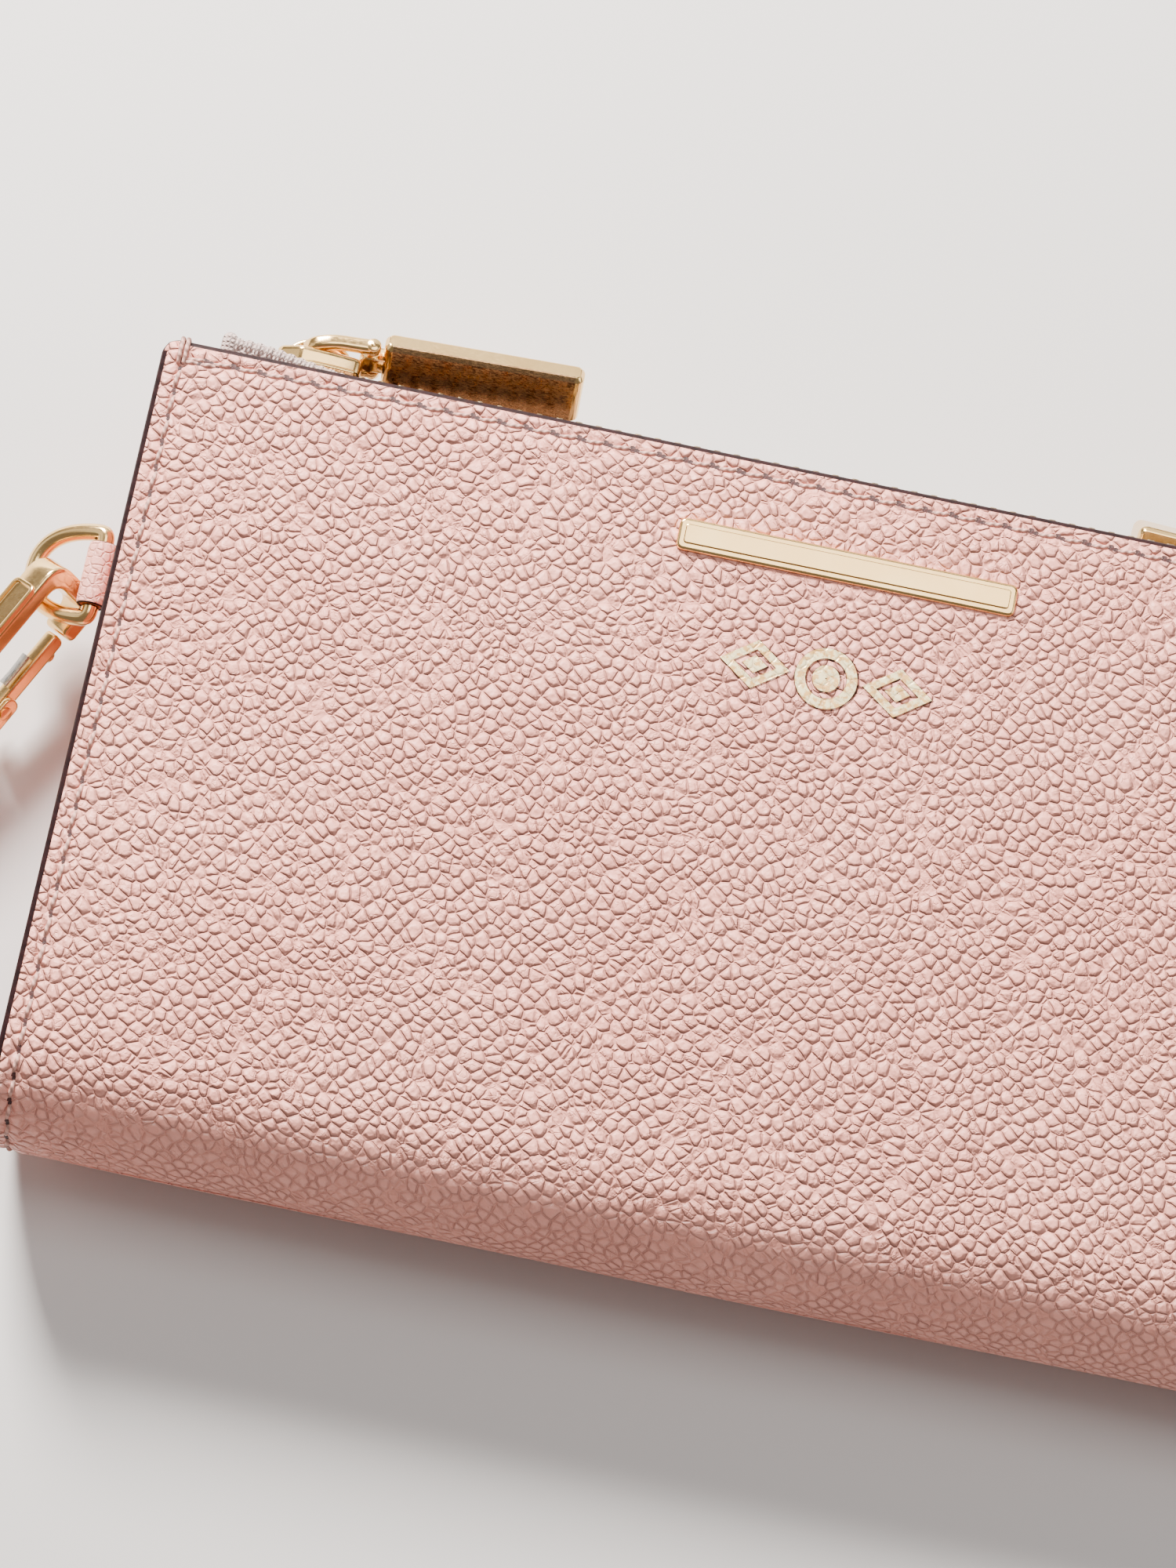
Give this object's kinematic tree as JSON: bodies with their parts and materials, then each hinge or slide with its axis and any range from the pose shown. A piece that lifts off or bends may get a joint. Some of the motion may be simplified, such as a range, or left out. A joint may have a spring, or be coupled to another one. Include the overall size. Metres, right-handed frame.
{
  "type": "wristlet wallet",
  "caption": "Flat leather wallet that zips along its top edge, with a wrist strap on a snap hook and D-ring.",
  "frame": {"origin": "centre of the back panel's outer face, on the plane the wallet lies on", "axes": "+X along the zips towards the end away from the D-ring, +Y from the folded bottom edge to the zips, +Z out of the front panel"},
  "size_m": [0.2626, 0.188, 0.0261],
  "materials": {
    "panel_leather": "pebbled, satin",
    "smooth_leather": "smooth, satin",
    "zip_tape": "woven tape",
    "lining": "twill lining",
    "board": "bonded board",
    "gold_metal": "polished, pale gold plated",
    "zip_teeth": "polished, pale gold plated",
    "spring_steel": "bare",
    "edge_paint": "painted cut edge",
    "thread": "bonded thread"
  },
  "bodies": {
    "back": {"back_leather": "panel_leather", "back_stiffener": "board", "back_lining": "lining", "card_pocket_1": "smooth_leather", "card_pocket_2": "smooth_leather", "card_pocket_3": "smooth_leather", "back_zip_outer_tape": "zip_tape", "back_zip_outer_teeth": "zip_teeth", "back_zip_outer_stop": "zip_teeth"},
    "core": {"divider_board": "board", "divider_front_lining": "lining", "divider_back_lining": "lining", "divider_binding": "smooth_leather", "phone_pocket": "smooth_leather", "note_pocket": "lining", "bottom_fold": "panel_leather", "front_gusset_left": "panel_leather", "front_gusset_right": "panel_leather", "back_gusset_left": "panel_leather", "back_gusset_right": "panel_leather", "ring_tab": "smooth_leather", "front_zip_inner_tape": "zip_tape", "front_zip_inner_teeth": "zip_teeth", "front_zip_inner_stop": "zip_teeth", "front_zip_end_stop": "zip_teeth", "back_zip_inner_tape": "zip_tape", "back_zip_inner_teeth": "zip_teeth", "back_zip_inner_stop": "zip_teeth", "back_zip_end_stop": "zip_teeth"},
    "front": {"front_leather": "panel_leather", "front_stiffener": "board", "front_lining": "lining", "nameplate": "gold_metal", "front_zip_outer_tape": "zip_tape", "front_zip_outer_teeth": "zip_teeth", "front_zip_outer_stop": "zip_teeth"},
    "front_slider": {"front_slider": "gold_metal"},
    "front_bail": {"front_bail": "gold_metal"},
    "front_pull": {"front_pull_plate": "gold_metal"},
    "back_slider": {"back_slider": "gold_metal"},
    "back_bail": {"back_bail": "gold_metal"},
    "back_pull": {"back_pull_plate": "gold_metal"},
    "ring": {"d_ring": "gold_metal"},
    "hook": {"hook": "gold_metal", "gate_rivet": "gold_metal", "gate_spring": "spring_steel"},
    "gate": {"hook_gate": "gold_metal"},
    "swivel": {"swivel_ring": "gold_metal"},
    "strap": {"wrist_strap": "smooth_leather", "strap_rivet": "gold_metal"}
  },
  "joints": [
    {"name": "back_gape", "type": "hinge", "parent": "back", "child": "core", "pos_m": [0, -0.0385, 0.0125], "axis": [1, 0, 0], "range_deg": [0, 15], "deforming": ["bottom_fold", "back_gusset_left", "back_gusset_right", "back_zip_outer_tape", "back_zip_outer_teeth"]},
    {"name": "front_gape", "type": "hinge", "parent": "core", "child": "front", "pos_m": [0, -0.0385, 0.0125], "axis": [1, 0, 0], "range_deg": [0, 15], "deforming": ["front_gusset_left", "front_gusset_right", "front_zip_outer_tape", "front_zip_outer_teeth"]},
    {"name": "front_slide", "type": "slide", "parent": "core", "child": "front_slider", "axis": [1, 0, 0], "range_m": [0, 0.144]},
    {"name": "back_slide", "type": "slide", "parent": "core", "child": "back_slider", "axis": [-1, 0, 0], "range_m": [0, 0.144]},
    {"name": "front_bail_hinge", "type": "hinge", "parent": "front_slider", "child": "front_bail", "pos_m": [-0.0721, 0.05535, 0.0175], "axis": [0, 0.1736, 0.9848], "range_deg": [0, 130]},
    {"name": "front_pull_hinge", "type": "hinge", "parent": "front_bail", "child": "front_pull", "pos_m": [-0.06416, 0.05631, 0.01733], "axis": [0, 0.1736, 0.9848], "range_deg": [0, 40]},
    {"name": "back_bail_hinge", "type": "hinge", "parent": "back_slider", "child": "back_bail", "pos_m": [0.0721, 0.05535, 0.0075], "axis": [0, 0.1736, -0.9848], "range_deg": [0, 130]},
    {"name": "back_pull_hinge", "type": "hinge", "parent": "back_bail", "child": "back_pull", "pos_m": [0.06416, 0.05631, 0.00767], "axis": [0, 0.1736, -0.9848], "range_deg": [0, 40]},
    {"name": "ring_swing", "type": "hinge", "parent": "core", "child": "ring", "pos_m": [-0.0921, 0.02235, 0.0125], "axis": [0, 1, 0], "range_deg": [-50, 70]},
    {"name": "hook_swing", "type": "hinge", "parent": "ring", "child": "hook", "pos_m": [-0.09791, 0.01803, 0.01039], "axis": [0.7094, -0.412, 0.5718], "range_deg": [-25, 15]},
    {"name": "gate_hinge", "type": "hinge", "parent": "hook", "child": "gate", "pos_m": [-0.10168, 0.00463, 0.00541], "axis": [0.7094, -0.412, 0.5718], "range_deg": [0, 20], "stiffness_Nm_per_rad": 0.01, "springref_deg": -11.46, "deforming": ["gate_spring"]},
    {"name": "hook_swivel", "type": "hinge", "parent": "hook", "child": "swivel", "pos_m": [-0.09531, 0.02224, 0.0102], "axis": [-0.4526, -0.8883, -0.0785], "continuous": true},
    {"name": "strap_hinge", "type": "hinge", "parent": "swivel", "child": "strap", "pos_m": [-0.11152, -0.00956, 0.00739], "axis": [-0.0356, -0.0699, 0.9969], "range_deg": [-60, 20]}
  ],
  "couplings": [
    {"joint": "front_slide", "follows": "front_gape", "m_per_rad": 0.55},
    {"joint": "back_slide", "follows": "back_gape", "m_per_rad": 0.55}
  ]
}
